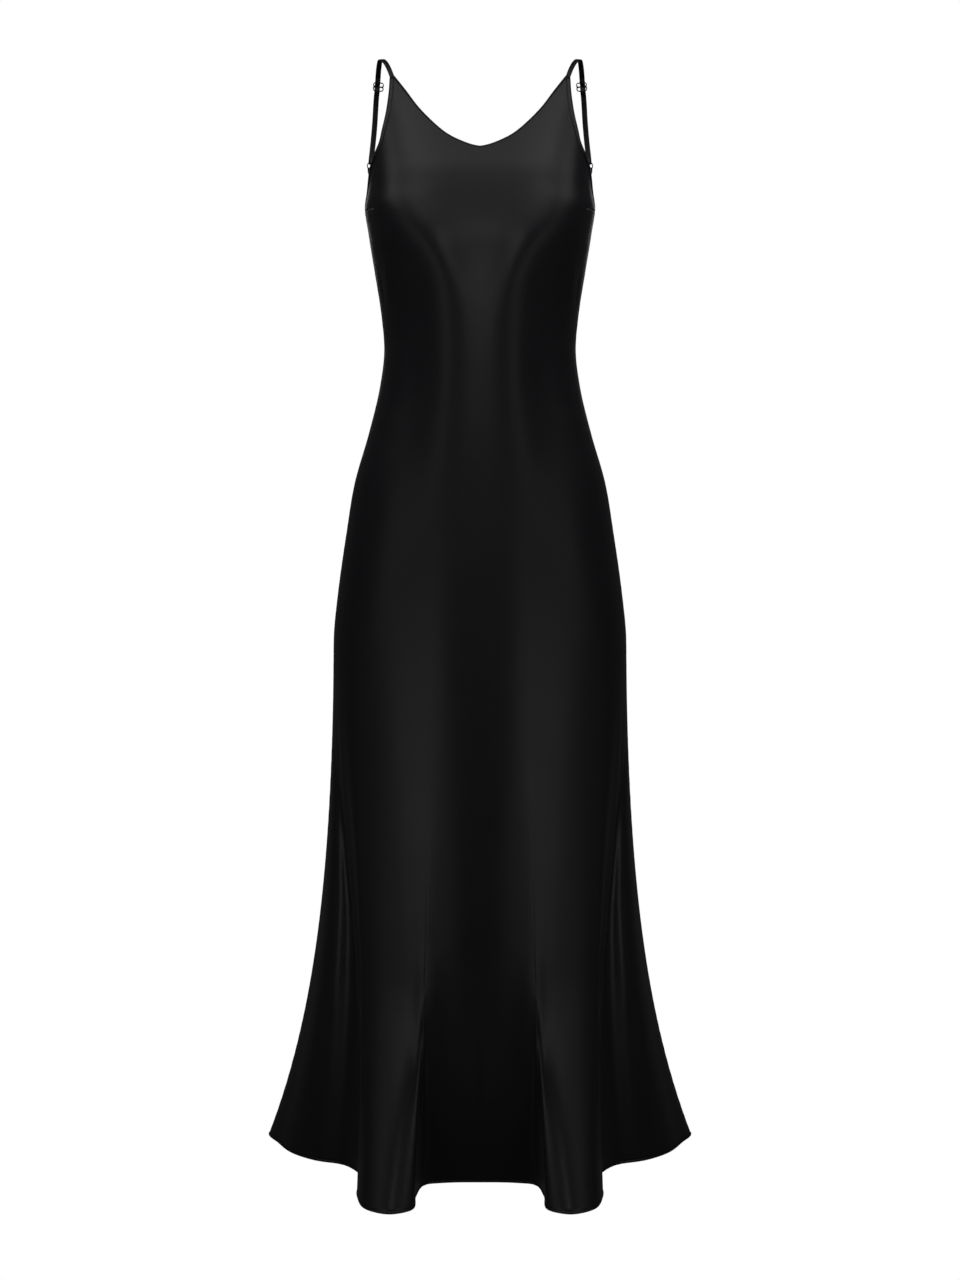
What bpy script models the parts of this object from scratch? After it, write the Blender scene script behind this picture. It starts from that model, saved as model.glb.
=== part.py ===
"""Slip dress, worn and hollow: bias-cut front and back, bound armholes, adjustable back straps.

Metres, +Z up. The front faces -Y. The origin lies midway between the tops of the two shoulder straps,
where the dress hangs. The tables are in millimetres, with heights measured down from the strap tops.
"""

import math
from collections import namedtuple

import bmesh
import bpy
import numpy as np
from mathutils import Matrix

OBJECT = "slip_dress"
MM = 0.001

# Walls, gaps and trim
CLOTH = 1.2 * MM
GAP = 0.3 * MM
BINDING_WIDTH = 5.5 * MM
BINDING_THICKNESS = 0.8 * MM
STRAP_WIDTH = 6.4 * MM
STRAP_AT_RING = 5.2 * MM
STRAP_THICKNESS = 0.9 * MM
RING_RADIUS = 4.5 * MM
WIRE = 0.6 * MM
SLIDER_HALF_WIDTH = 6.6 * MM
SLIDER_HALF_HEIGHT = 5.6 * MM
SLIDER_THICKNESS = 1.2 * MM
SLIDER_BAR = 1.3 * MM
SLIDER_SQUARE = 0.55
SLIDER_NIP = 0.10
SLIDER_SHIFT = 1.3 * MM
TAB_TUCK = 14 * MM

# How a strap or tab turns round the ring and through the slider
LAYER_LIFT = (STRAP_THICKNESS + GAP) / 2 + 0.1 * MM
TURN_LIFT = WIRE + GAP + STRAP_THICKNESS / 2
WEAVE_LIFT = (SLIDER_THICKNESS + STRAP_THICKNESS) / 2 + 1.5 * GAP
TURN_INSET = RING_RADIUS - WIRE - 0.4 * MM
STRAP_EASE = 7 * MM
TAB_EASE = 6 * MM
TAB_DEPTH = CLOTH + GAP + 1.5 * STRAP_THICKNESS + GAP

# Levels of the cut
HEM = -1342 * MM
KNEE = -1080 * MM
HIP = -720 * MM
YOKE = -205 * MM
UNDERARM = -178 * MM

# Sections of the body form: half width, depth before and behind the side seams, and how square the
# front and back quarters are, where 2 is an ellipse. The last column is how far the front stands out
# down its middle, where it hangs straight from the bust to the belly.
#    height, half_width, front, back, front_square, back_square, middle
SECTIONS = (
    (-720, 178.6, 113, 126, 2.2, 2.2, 5),
    (-680, 177.6, 113, 127, 2.2, 2.2, 5),
    (-640, 173.3, 113, 127, 2.2, 2.2, 5),
    (-560, 161.6, 111, 122, 2.2, 2.2, 6.5),
    (-500, 151.2, 107, 112, 2.2, 2.2, 9),
    (-440, 133.6, 102, 98, 2.2, 2.2, 13),
    (-384, 120.0, 97, 84, 2.2, 2.25, 17),
    (-344, 115.0, 96, 79, 2.25, 2.3, 18),
    (-300, 118.2, 99, 80, 2.3, 2.4, 16),
    (-250, 125.8, 107, 83, 2.5, 2.7, 10),
    (-206, 132.6, 112, 84, 2.8, 3.2, 4),
    (-178, 136.0, 111, 82, 2.9, 3.6, 0),
    (-160, 132.8, 108, 80, 3.0, 3.7, 0),
    (-140, 131.5, 103, 78, 3.1, 3.8, 0),
    (-105, 132.0, 88, 73, 3.1, 3.8, 0),
    (-62, 133.5, 66, 66, 3.1, 3.7, 0),
    (-22, 134.0, 41, 56, 3.0, 3.6, 0),
    (20, 134.0, 16, 40, 3.0, 3.6, 0),
)

# Fullness of the bust on each side of the centre line, lower towards it, and the width of the middle
BUST_X = 68 * MM
BUST_Z = -205 * MM
BUST_WIDE = 46 * MM
BUST_HIGH = 40 * MM
BUST_DEEP = 12 * MM
BUST_LEAN = 0.45
MIDDLE_WIDE = 58 * MM

# Fold lines of the skirt, from the centre line to the side seam. hip_share is how far round the hip a
# line starts, the next columns are its places at the knee and at the hem, and steps counts the strips
# of cloth between it and the next line.
#    fold, hip_share, knee_x, knee_y, hem_x, hem_y, steps
FRONT_FOLDS = (
    ("centre", 0.00, 0, -118, 0, -79, 2),
    ("valley_side", 0.13, 33, -117, 50, -79, 1),
    ("flute_root", 0.20, 52, -115, 63, -85, 1),
    ("flute_inner_wall", 0.28, 66, -112.5, 73, -122, 2),
    ("flute_inner_turn", 0.36, 76, -110.5, 79, -159, 2),
    ("flute_crown", 0.46, 92, -107, 104, -173, 2),
    ("flute_outer_turn", 0.58, 124, -96.5, 133, -159, 2),
    ("flute_outer_wall", 0.69, 142, -88, 145.5, -122, 2),
    ("side_trough", 0.80, 145, -60, 146, -57, 1),
    ("wing_inner", 0.86, 157, -34, 168, -25, 1),
    ("wing_middle", 0.905, 174, -12, 205, -6, 1),
    ("wing_shoulder", 0.945, 190, 8, 237, 17, 2),
    ("wing_outer", 0.975, 200, 25, 259, 51, 1),
    ("side_seam", 1.00, 207.1, 44, 274.2, 84, 0),
)
BACK_FOLDS = (
    ("centre", 0.00, 0, 133, 0, 138, 2),
    ("valley_side", 0.14, 38, 136, 45, 139, 1),
    ("flute_root", 0.22, 58, 144, 66, 150, 1),
    ("flute_inner_wall", 0.30, 74, 156, 82, 180, 1),
    ("flute_inner_turn", 0.38, 88, 164, 94, 205, 2),
    ("flute_crown", 0.48, 108, 167, 118, 219, 2),
    ("flute_outer_turn", 0.60, 131, 160, 143, 208, 2),
    ("flute_outer_wall", 0.70, 149, 140, 158, 176, 1),
    ("side_trough", 0.80, 160, 114, 172, 140, 2),
    ("wing_inner", 0.87, 174, 94, 200, 118, 2),
    ("wing_turn", 0.94, 194, 70, 250, 104, 2),
    ("side_seam", 1.00, 207.1, 44, 274.2, 84, 0),
)
SEAM_STRIP = 2.5 * MM
HIP_FALL = 0.31
HEM_FALL = 1.49

# Edges of the cut. neck gives a height and a half width per row, from the centre line. armhole gives a
# height and a share of the way from the centre line to the side seam per row, from the underarm. Both end
# at the panel's top corner. dip is the neckline's slope at the centre line, corner is the way that the
# cloth leaves the top corner in the flat pattern, and rows counts the rows of the mesh above the yoke line.
Cut = namedtuple("Cut", "neck dip armhole corner rows")
FRONT_CUT = Cut(
    neck=(
        (-119, 0), (-111, 22), (-101, 39.3), (-86, 55.6), (-65.5, 73.2), (-49.5, 84), (-36, 93.5),
        (-26.7, 100.3),
    ),
    dip=0.33,
    armhole=(
        (-178, 1.0), (-168, 0.925), (-152, 0.848), (-135, 0.773), (-123, 0.706),
        (-110, 0.655), (-95, 0.640), (-75, 0.629), (-50, 0.643), (-29.4, 0.673),
    ),
    corner=(0.50, 0.87),
    rows=11,
)
BACK_CUT = Cut(
    neck=((-178, 0), (-173, 50), (-160, 92), (-140, 121)),
    dip=0.0,
    armhole=((-178, 1.0), (-168, 0.93), (-156, 0.87), (-140, 0.82)),
    corner=(0.0, 1.0),
    rows=5,
)

# The right strap's line from above the shoulder point down through the ring's centre, and the way its
# face looks. It runs straight on both sides of the ring.
#    x, y, z, face_x, face_y, face_z
STRAP_LINE = (
    (107.3, -25.0, -15.8, 0.25, -0.55, 0.80),
    (113.0, -12.0, -5.2, 0.20, -0.35, 0.92),
    (118.0, 2.0, -0.6, 0.10, 0.00, 1.00),
    (120.8, 17.5, -5.8, 0.10, 0.50, 0.86),
    (123.0, 30.5, -19.0, 0.10, 0.86, 0.50),
    (125.5, 39.0, -40.0, 0.15, 0.96, 0.20),
    (127.7, 43.5, -68.0, 0.25, 0.96, 0.05),
    (130.4, 43.5, -95.0, 0.45, 0.89, 0.00),
    (132.4, 41.8, -111.5, 0.60, 0.80, 0.00),
    (133.0, 41.1, -117.7, 0.60, 0.80, 0.00),
    (133.6, 40.4, -123.9, 0.60, 0.80, 0.00),
)
APEX_ROW = 3
RING_ROW = 10
STRAP_START = 0.6 * MM
SLIDER_HEIGHT = -25 * MM
TAB_SHARE = 0.806
# Mesh counts
SKIRT_ROWS = 12
TORSO_ROWS = 12
FINE = 241
STRAP_STEP = 3.2 * MM
DOUBLED_STEP = 6.4 * MM
SLIDER_STEP = 0.8 * MM
LOOP_STEPS = 5
TAB_STEPS = 7
SLIDER_CORNERS = 40
RING_STEPS = 24
WIRE_STEPS = 8


def smooth(at, knots, values, slopes=()):
    """Cubic curve through the values, with slopes from neighbouring knots or given as (knot, slope)."""
    knots = np.asarray(knots, float)
    values = np.asarray(values, float)
    given = dict(slopes)
    slopes = np.gradient(values, knots)
    for knot, slope in given.items():
        slopes[knot] = slope
    at = np.asarray(at, float)
    low = np.clip(np.searchsorted(knots, at, side="right") - 1, 0, len(knots) - 2)
    step = knots[low + 1] - knots[low]
    t = (at - knots[low]) / step
    start = values[low] + t * t * (3 - 2 * t) * (values[low + 1] - values[low])
    return start + step * t * (1 - t) * ((1 - t) * slopes[low] - t * slopes[low + 1])


def eased(at, knots, values):
    """Curve through the values that is level at each of them, so it never runs past one."""
    return smooth(at, knots, values, {k: 0.0 for k in range(len(knots))})


def walked(points):
    """Length along a polyline up to each of its points."""
    return np.concatenate([[0.0], np.cumsum(np.linalg.norm(np.diff(points, axis=0), axis=1))])


def unit(vectors):
    return vectors / np.linalg.norm(vectors, axis=-1, keepdims=True)


class Side:
    """The right half of the front or back body form, from the centre line to the side seam."""

    def __init__(self, folds, sign, bust, seam_turn):
        rows = np.array([row[1:] for row in folds], float)
        heights, widths, *front_and_back = np.array(SECTIONS, float).T
        front, back, front_square, back_square, middle = front_and_back
        self.sign = sign
        self.heights = heights * MM
        self.half_width = widths * MM
        self.depth = (front if sign < 0 else back) * MM
        self.square = front_square if sign < 0 else back_square
        self.bust = bust
        self.middle = middle * MM if sign < 0 else middle * 0
        self.seam_turn = seam_turn
        self.hip_share = rows[:, 0]
        self.knee = rows[:, 1:3] * MM
        self.hem = rows[:, 3:5] * MM
        length = walked(self.hem)
        self.knots = length / length[-1]
        places = [
            np.linspace(start, end, int(steps), endpoint=False)
            for start, end, steps in zip(self.knots[:-1], self.knots[1:], rows[:-1, 5])
        ]
        self.columns = np.concatenate([*places, [1 - SEAM_STRIP / length[-1], 1.0]])

    def section(self, height):
        """Points of the torso's section at a height, and the length walked to each."""
        turn = np.linspace(0, math.pi / 2, FINE)
        half = smooth(height, self.heights, self.half_width)
        deep = smooth(height, self.heights, self.depth)
        power = 2 / smooth(height, self.heights, self.square)
        x = half * np.sin(turn) ** power
        y = deep * np.cos(turn) ** power
        x[-1], y[-1] = half, 0.0
        out = x - BUST_X
        rise = height - BUST_Z - BUST_LEAN * out
        spread = (out / BUST_WIDE) ** 2 + (rise / BUST_HIGH) ** 2
        middle = smooth(height, self.heights, self.middle) * np.exp(-((x / MIDDLE_WIDE) ** 2))
        y += (self.bust * np.exp(-spread) + middle) * y / deep
        points = np.stack([x, self.sign * y], axis=1)
        return points, walked(points)

    def quarter(self, height):
        """Length from the centre line to the side seam."""
        return self.section(height)[1][-1]

    def torso(self, share, height):
        points, length = self.section(height)
        at = np.asarray(share) * length[-1]
        return np.stack([np.interp(at, length, points[:, k]) for k in (0, 1)], axis=-1)

    def length_at(self, x, height):
        """Length from the centre line to a half width."""
        points, length = self.section(height)
        return np.interp(x, points[:, 0], length)

    def ring(self, at, table):
        """Points of a skirt ring. It leaves the centre line and meets the side seam square to X."""
        run = self.seam_turn * abs(table[-1, 1] - table[-2, 1]) / (1 - self.knots[-2])
        x = smooth(at, self.knots, table[:, 0], {-1: 0.0})
        y = smooth(at, self.knots, table[:, 1], {0: 0.0, -1: -self.sign * run})
        return np.stack([x, y], axis=1)

    def level(self, height):
        """Points of the body form at the height of one row of the mesh."""
        share = smooth(self.columns, self.knots, self.hip_share)
        if height >= HIP:
            return self.torso(share, height)
        hip = self.torso(share, HIP)
        knee = self.ring(self.columns, self.knee)
        hem = self.ring(self.columns, self.hem)
        slopes = (
            HEM_FALL * (knee - hem) / (KNEE - HEM),
            (hip - hem) / (HIP - HEM),
            HIP_FALL * (hip - knee) / (HIP - KNEE),
        )
        points = np.empty_like(hip)
        for i in np.ndindex(hip.shape):
            falls = enumerate(slope[i] for slope in slopes)
            points[i] = smooth(height, (HEM, KNEE, HIP), (hem[i], knee[i], hip[i]), falls)
        return points


def edge_rows(side, cut):
    """The panel's outer edge in the flat pattern, and the line one binding's width inside it."""
    table = np.array(cut.armhole, float)
    z = np.linspace(YOKE, table[-1, 0] * MM, cut.rows + 1)
    under = int(np.argmin(np.abs(z - UNDERARM)))
    z[under] = UNDERARM
    share = smooth(np.maximum(z, UNDERARM), table[:, 0] * MM, table[:, 1])
    q = share * np.array([side.quarter(height) for height in z])
    edge = np.stack([q, z], axis=1)
    run = unit(np.gradient(edge, axis=0))
    run[0] = (0, 1)
    run[-1] = unit(np.array(cut.corner))
    inner = edge + BINDING_WIDTH * np.stack([-run[:, 1], run[:, 0]], axis=1)
    return edge, inner, under


def neckline(side, cut, end):
    """Points of the neckline in the flat pattern, from the centre line to the top corner."""
    table = np.array(cut.neck, float) * MM
    x = np.linspace(0, table[-1, 1], FINE)
    z = smooth(x, table[:, 1], table[:, 0], {0: cut.dip})
    q = np.array([side.length_at(a, b) for a, b in zip(x, z)])
    line = np.stack([q, z], axis=1)
    return line + (end - line[-1]) * (x / x[-1])[:, None]


def yoke(side, cut):
    """The flat pattern above the yoke line, blended between its four edges, row by row.

    The columns end on the neckline. The last strip is as wide as the binding, and its outer edge is
    the side seam and then the armhole.
    """
    edge, inner, under = edge_rows(side, cut)
    top = neckline(side, cut, inner[-1])
    share = smooth(side.columns, side.knots, side.hip_share)[:-1]
    across = share / share[-1]
    length = walked(top)
    top = np.stack([np.interp(across * length[-1], length, top[:, k]) for k in (0, 1)], axis=1)
    low = np.stack([across * inner[0, 0], np.full(len(across), YOKE)], axis=1)
    pattern = []
    for j in range(cut.rows + 1):
        up = j / cut.rows
        c = across[:, None]
        centre = low[0] + up * (top[0] - low[0])
        blend = (1 - c) * centre + c * inner[j] + (1 - up) * low + up * top
        corners = (1 - up) * ((1 - c) * low[0] + c * low[-1]) + up * ((1 - c) * top[0] + c * top[-1])
        pattern.append(np.concatenate([blend - corners, edge[j:j + 1]]))
    return np.array(pattern), under


def panel(side, cut):
    """Rows of points of the right half panel from hem to neckline, and its row at the underarm."""
    skirt = np.linspace(HEM, HIP, SKIRT_ROWS, endpoint=False)
    torso = np.linspace(HIP, YOKE, TORSO_ROWS, endpoint=False)
    rows = []
    for height in (*skirt, *torso):
        level = side.level(height)
        rows.append(np.column_stack([level, np.full(len(level), height)]))
    pattern, under = yoke(side, cut)
    for row in pattern:
        level = [side.torso(length / side.quarter(height), height) for length, height in row]
        rows.append(np.column_stack([level, row[:, 1]]))
    points = np.array(rows)
    underarm = SKIRT_ROWS + TORSO_ROWS + under
    # The last strip up to the underarm lies square to X, so that front and back meet flush.
    points[:underarm + 1, -2, 0] = points[:underarm + 1, -1, 0]
    points[:underarm + 1, -1, 1] += side.sign * GAP / 2
    return points, underarm


def inside(side, share, height):
    """A place on the panel's inner side for the tab, and the way that the panel faces there."""
    spots = [
        np.append(side.torso(share + d, height + e), height + e)
        for d, e in ((0, 0), (0.01, 0), (0, MM))
    ]
    face = unit(np.cross(spots[1] - spots[0], spots[2] - spots[0]))
    face *= np.sign(face @ spots[0])
    return np.concatenate([spots[0] - face * TAB_DEPTH, face])


def both_halves(points):
    """Whole rows, from left to right."""
    return np.concatenate([points[:, :0:-1] * (-1, 1, 1), points], axis=1)


def grid_mesh(name, points, facing):
    """An open surface through rows of points, turned to face the given way."""
    rows, columns = points.shape[:2]
    bm = bmesh.new()
    verts = [bm.verts.new(p) for p in points.reshape(-1, 3)]
    for j in range(rows - 1):
        for i in range(columns - 1):
            a = j * columns + i
            bm.faces.new([verts[k] for k in (a, a + 1, a + columns + 1, a + columns)])
    bmesh.ops.remove_doubles(bm, verts=bm.verts, dist=1e-7)
    bmesh.ops.triangulate(bm, faces=bm.faces, quad_method="SHORT_EDGE")
    bm.normal_update()
    if sum(face.calc_area() * face.normal.dot(facing) for face in bm.faces) < 0:
        bmesh.ops.reverse_faces(bm, faces=bm.faces)
    mesh = bpy.data.meshes.new(name)
    bm.to_mesh(mesh)
    bm.free()
    return mesh


def mesh_normals(mesh, shape):
    """Vertex normals of an open surface, in the order of its grid."""
    found = np.empty(len(mesh.vertices) * 3, np.float32)
    mesh.vertices.foreach_get("normal", found)
    return found.reshape(*shape, 3).astype(float)


def binding(front, back):
    """Strip of points round the right armhole: front shoulder point, underarm, back corner.

    Each of front and back holds the panel's points, its normals and its row at the underarm.
    """
    halves = []
    for points, normals, underarm in (front, back):
        lifted = points + normals * GAP
        strip = lifted[underarm:, -2:][:, ::-1]
        foot = lifted[underarm, -1] - lifted[underarm - 1, -1]
        foot = lifted[underarm, -1] - unit(foot) * BINDING_WIDTH
        halves.append(np.concatenate([[[strip[0, 0], foot]], strip]))
    return np.concatenate([halves[0][::-1], halves[1]])


class Line:
    """The line that the strap and its tab follow, measured by length, with the way the cloth faces."""

    def __init__(self, rows):
        self.points = np.array([row[:3] for row in rows])
        self.faces = unit(np.array([row[3:] for row in rows]))
        self.length = walked(self.points)

    def at(self, s):
        spot = np.array([smooth(s, self.length, self.points[:, k]) for k in range(3)])
        ahead = np.array([smooth(s + MM, self.length, self.points[:, k]) for k in range(3)])
        along = unit(ahead - spot)
        face = unit(np.array([smooth(s, self.length, self.faces[:, k]) for k in range(3)]))
        side = unit(np.cross(along, face))
        return spot, along, side, np.cross(side, along)

    def strip(self, stations):
        """Two points across the strip at each station of length, offset towards the face and width."""
        rows = []
        for s, lift, width in stations:
            spot, _, side, face = self.at(s)
            rows.append([spot + face * lift - side * width / 2, spot + face * lift + side * width / 2])
        return np.array(rows)


def loop(centre, way):
    """Stations of a band's turn through the ring, from the outer layer to the inner one."""
    turn = np.linspace(0, math.pi, LOOP_STEPS + 1)[1:-1]
    return [
        (centre + way * TURN_LIFT * math.sin(t), TURN_LIFT * math.cos(t), STRAP_AT_RING) for t in turn
    ]


def strap_stations(line, ring, slider):
    """Stations of the strap: over the shoulder, woven through the slider, round the ring and back up."""
    bars = SLIDER_HALF_HEIGHT - SLIDER_BAR / 2
    reach = bars + STRAP_EASE
    low = ring - TURN_INSET
    above, below, split = slider - reach, slider + reach, low - STRAP_EASE
    knots = (0, above, slider - bars, slider, slider + bars, below, split, low)
    lifts = (0, 0, -WEAVE_LIFT, WEAVE_LIFT, -WEAVE_LIFT, LAYER_LIFT, LAYER_LIFT, TURN_LIFT)
    widths = (BINDING_WIDTH, *[STRAP_WIDTH] * 6, STRAP_AT_RING)
    places = np.unique(np.concatenate([
        np.linspace(0, above, int(above / STRAP_STEP) + 1),
        np.linspace(above, below, int(2 * reach / SLIDER_STEP) + 1),
        np.linspace(below, split, int((split - below) / DOUBLED_STEP) + 1),
        np.linspace(split, low, LOOP_STEPS),
    ]).round(7))
    down = [(s, eased(s, knots, lifts), eased(s, knots, widths)) for s in places]
    tail_knots = (slider, slider + bars, below, split, low)
    tail_lifts = (-WEAVE_LIFT, -WEAVE_LIFT - 2 * LAYER_LIFT, -LAYER_LIFT, -LAYER_LIFT, -TURN_LIFT)
    up = [
        (s, eased(s, tail_knots, tail_lifts), eased(s, knots, widths))
        for s in places[::-1] if s >= slider
    ]
    return [*down, *loop(low, 1), *up]


def tab_stations(line, ring):
    """Stations of the tab: up from inside the panel, round the ring and down again."""
    high = ring + TURN_INSET
    knots = (high, high + TAB_EASE, line.length[-1])
    lifts = (TURN_LIFT, LAYER_LIFT, LAYER_LIFT)
    places = np.unique(np.concatenate([
        np.linspace(*knots[:2], LOOP_STEPS), np.linspace(*knots[1:], TAB_STEPS)
    ]).round(7))
    outer = [(s, eased(s, knots, lifts), STRAP_AT_RING) for s in places]
    inner = [(s, -lift, width) for s, lift, width in outer]
    return [*inner[::-1], *loop(high, -1)[::-1], *outer]


def slider_mesh(name):
    """A flat figure-8 plate: a squared outline nipped at its waist, with two windows."""
    curve = bpy.data.curves.new(name, "CURVE")
    curve.dimensions = "2D"
    curve.fill_mode = "BOTH"
    curve.extrude = SLIDER_THICKNESS / 2
    turns = np.linspace(0, 2 * math.pi, SLIDER_CORNERS, endpoint=False)
    circle = np.stack([np.cos(turns), np.sin(turns)], axis=1)
    squared = np.sign(circle) * np.abs(circle) ** SLIDER_SQUARE
    outline = squared * (SLIDER_HALF_WIDTH, SLIDER_HALF_HEIGHT)
    outline[:, 0] *= 1 - SLIDER_NIP * np.exp(-(outline[:, 1] / MM) ** 2)
    window_half = (SLIDER_HALF_HEIGHT - 1.5 * SLIDER_BAR) / 2
    window = squared[::2] * (SLIDER_HALF_WIDTH - SLIDER_BAR, window_half)
    shift = (0, window_half + SLIDER_BAR / 2)
    for points in (outline, window + shift, window - shift):
        spline = curve.splines.new("POLY")
        spline.points.add(len(points) - 1)
        spline.use_cyclic_u = True
        for point, (x, y) in zip(spline.points, points):
            point.co = (x, y, 0, 1)
    helper = bpy.data.objects.new(name, curve)
    bpy.context.scene.collection.objects.link(helper)
    graph = bpy.context.evaluated_depsgraph_get()
    mesh = bpy.data.meshes.new_from_object(helper.evaluated_get(graph))
    bpy.data.objects.remove(helper)
    bm = bmesh.new()
    bm.from_mesh(mesh)
    bmesh.ops.remove_doubles(bm, verts=bm.verts, dist=1e-6)
    bm.to_mesh(mesh)
    bm.free()
    return mesh


def placed(spot, side, along, face, mirror):
    """World matrix of a fitting on the right strap's line, or on its mirror image."""
    matrix = np.eye(4)
    flip = np.array([mirror, 1, 1])
    for k, axis in enumerate((side * mirror, along, face, spot)):
        matrix[:3, k] = axis * flip
    return Matrix(matrix)


def material(name, colour, roughness, metallic):
    found = bpy.data.materials.new(name)
    found.use_nodes = True
    shader = found.node_tree.nodes["Principled BSDF"]
    shader.inputs["Base Color"].default_value = (*colour, 1)
    shader.inputs["Roughness"].default_value = roughness
    shader.inputs["Metallic"].default_value = metallic
    return found


def piece(name, mesh, finish, parts):
    obj = bpy.data.objects.new(name, mesh)
    mesh.materials.clear()
    mesh.materials.append(finish)
    mesh.shade_smooth()
    mesh.set_sharp_from_angle(angle=math.radians(50))
    parts.objects.link(obj)
    return obj


def thicken(obj, thickness, offset):
    wall = obj.modifiers.new("Wall", "SOLIDIFY")
    wall.thickness = thickness
    wall.offset = offset
    wall.use_even_offset = True


def make_panels(satin, parts):
    """The front and back panels. Returns each right half's points, normals and underarm row."""
    halves = []
    for name, side, cut in (("front_panel", FRONT, FRONT_CUT), ("back_panel", BACK, BACK_CUT)):
        points, underarm = panel(side, cut)
        whole = both_halves(points)
        mesh = grid_mesh(name, whole, (0, side.sign, 0))
        thicken(piece(name, mesh, satin, parts), CLOTH, -1)
        normals = mesh_normals(mesh, whole.shape[:2])
        halves.append((points, normals[:, -points.shape[1]:], underarm))
    return halves


def make_sides(halves, satin, metal, parts):
    """The binding, strap, slider, ring and tab of each side."""
    corner = BACK_CUT.neck[-1][0] * MM
    tucked = [inside(BACK, TAB_SHARE, height) for height in (corner, corner - TAB_TUCK)]
    rows = [np.array(row) * (MM, MM, MM, 1, 1, 1) for row in STRAP_LINE]
    points, normals, _ = halves[0]
    shoulder, face = points[-1, -2:].mean(axis=0), unit(normals[-1, -2:].mean(axis=0))
    shoulder = shoulder - face * CLOTH / 2
    start = shoulder + unit(rows[0][:3] - shoulder) * STRAP_START
    line = Line([np.append(start, face), *rows, *tucked])
    ring = line.length[RING_ROW]
    falling = np.linspace(line.length[APEX_ROW], ring, FINE)
    heights = np.array([line.at(s)[0][2] for s in falling])
    slider = np.interp(-SLIDER_HEIGHT, -heights, falling)
    bound = binding(*halves)
    strap = line.strip(strap_stations(line, ring, slider))
    tab = line.strip(tab_stations(line, ring))
    for word, mirror in (("right", 1), ("left", -1)):
        flip = np.array([mirror, 1, 1])
        outside = (mirror, 0, 0)
        cloth = grid_mesh(f"armhole_binding_{word}", bound * flip, outside)
        thicken(piece(cloth.name, cloth, satin, parts), BINDING_THICKNESS, 1)
        for name, points in ((f"strap_{word}", strap), (f"strap_tab_{word}", tab)):
            cloth = grid_mesh(name, points * flip, outside)
            thicken(piece(name, cloth, satin, parts), STRAP_THICKNESS, 0)
        spot, along, side, face = line.at(slider)
        plate = slider_mesh(f"slider_{word}")
        made = piece(plate.name, plate, metal, parts)
        inward = -np.sign(side[0]) * SLIDER_SHIFT * side
        made.matrix_world = placed(spot + inward, side, along, face, mirror)
        spot, along, side, face = line.at(ring)
        bpy.ops.mesh.primitive_torus_add(
            major_segments=RING_STEPS, minor_segments=WIRE_STEPS,
            major_radius=RING_RADIUS, minor_radius=WIRE,
        )
        made = bpy.context.object
        made.name = f"ring_{word}"
        made.data.materials.append(metal)
        made.data.shade_smooth()
        made.users_collection[0].objects.unlink(made)
        parts.objects.link(made)
        made.matrix_world = placed(spot, side, along, face, mirror)


FRONT = Side(FRONT_FOLDS, -1, BUST_DEEP, 1.3)
BACK = Side(BACK_FOLDS, 1, 0.0, 0.4)


def main():
    for obj in list(bpy.data.objects):
        bpy.data.objects.remove(obj, do_unlink=True)
    parts = bpy.data.collections.new(OBJECT)
    bpy.context.scene.collection.children.link(parts)
    satin = material("black_satin", (0.010, 0.010, 0.011), 0.38, 0.0)
    metal = material("black_enamelled_metal", (0.012, 0.012, 0.013), 0.25, 0.6)
    halves = make_panels(satin, parts)
    make_sides(halves, satin, metal, parts)


main()
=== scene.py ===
"""Slip dress: fine cloth, edges, straps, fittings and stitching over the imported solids.

Metres, +Z up, the front faces -Y. The tables are in millimetres, with heights measured down from the
tops of the shoulder straps. They hold the cut of the solids, with its folds, bust and neck shaped finer.
"""

import functools
import math
from collections import namedtuple

import bmesh
import bpy
import numpy as np
from bpy.props import FloatProperty, FloatVectorProperty, IntProperty, PointerProperty
from mathutils import Matrix, Vector


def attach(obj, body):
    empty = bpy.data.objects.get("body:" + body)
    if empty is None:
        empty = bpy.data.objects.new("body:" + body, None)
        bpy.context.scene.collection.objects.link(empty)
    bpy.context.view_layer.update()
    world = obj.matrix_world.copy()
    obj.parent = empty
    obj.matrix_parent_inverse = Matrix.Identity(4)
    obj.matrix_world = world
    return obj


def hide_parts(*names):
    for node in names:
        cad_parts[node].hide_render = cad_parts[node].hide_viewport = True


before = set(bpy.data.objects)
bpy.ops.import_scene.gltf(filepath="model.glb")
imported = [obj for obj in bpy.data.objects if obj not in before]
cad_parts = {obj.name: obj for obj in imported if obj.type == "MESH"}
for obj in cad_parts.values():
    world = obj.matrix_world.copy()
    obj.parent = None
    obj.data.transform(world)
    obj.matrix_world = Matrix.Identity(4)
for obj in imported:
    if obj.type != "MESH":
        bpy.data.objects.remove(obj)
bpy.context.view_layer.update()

bl_info = {
    "name": "Slip Dress",
    "version": (1, 0, 0),
    "blender": (4, 5, 0),
    "location": "3D View > Sidebar > Slip Dress",
    "description": "Sews a bias-cut slip dress over its packed solids",
    "category": "Object",
}

MM = 0.001
BODY = "root"
SIDES = (("right", 1), ("left", -1))

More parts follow.
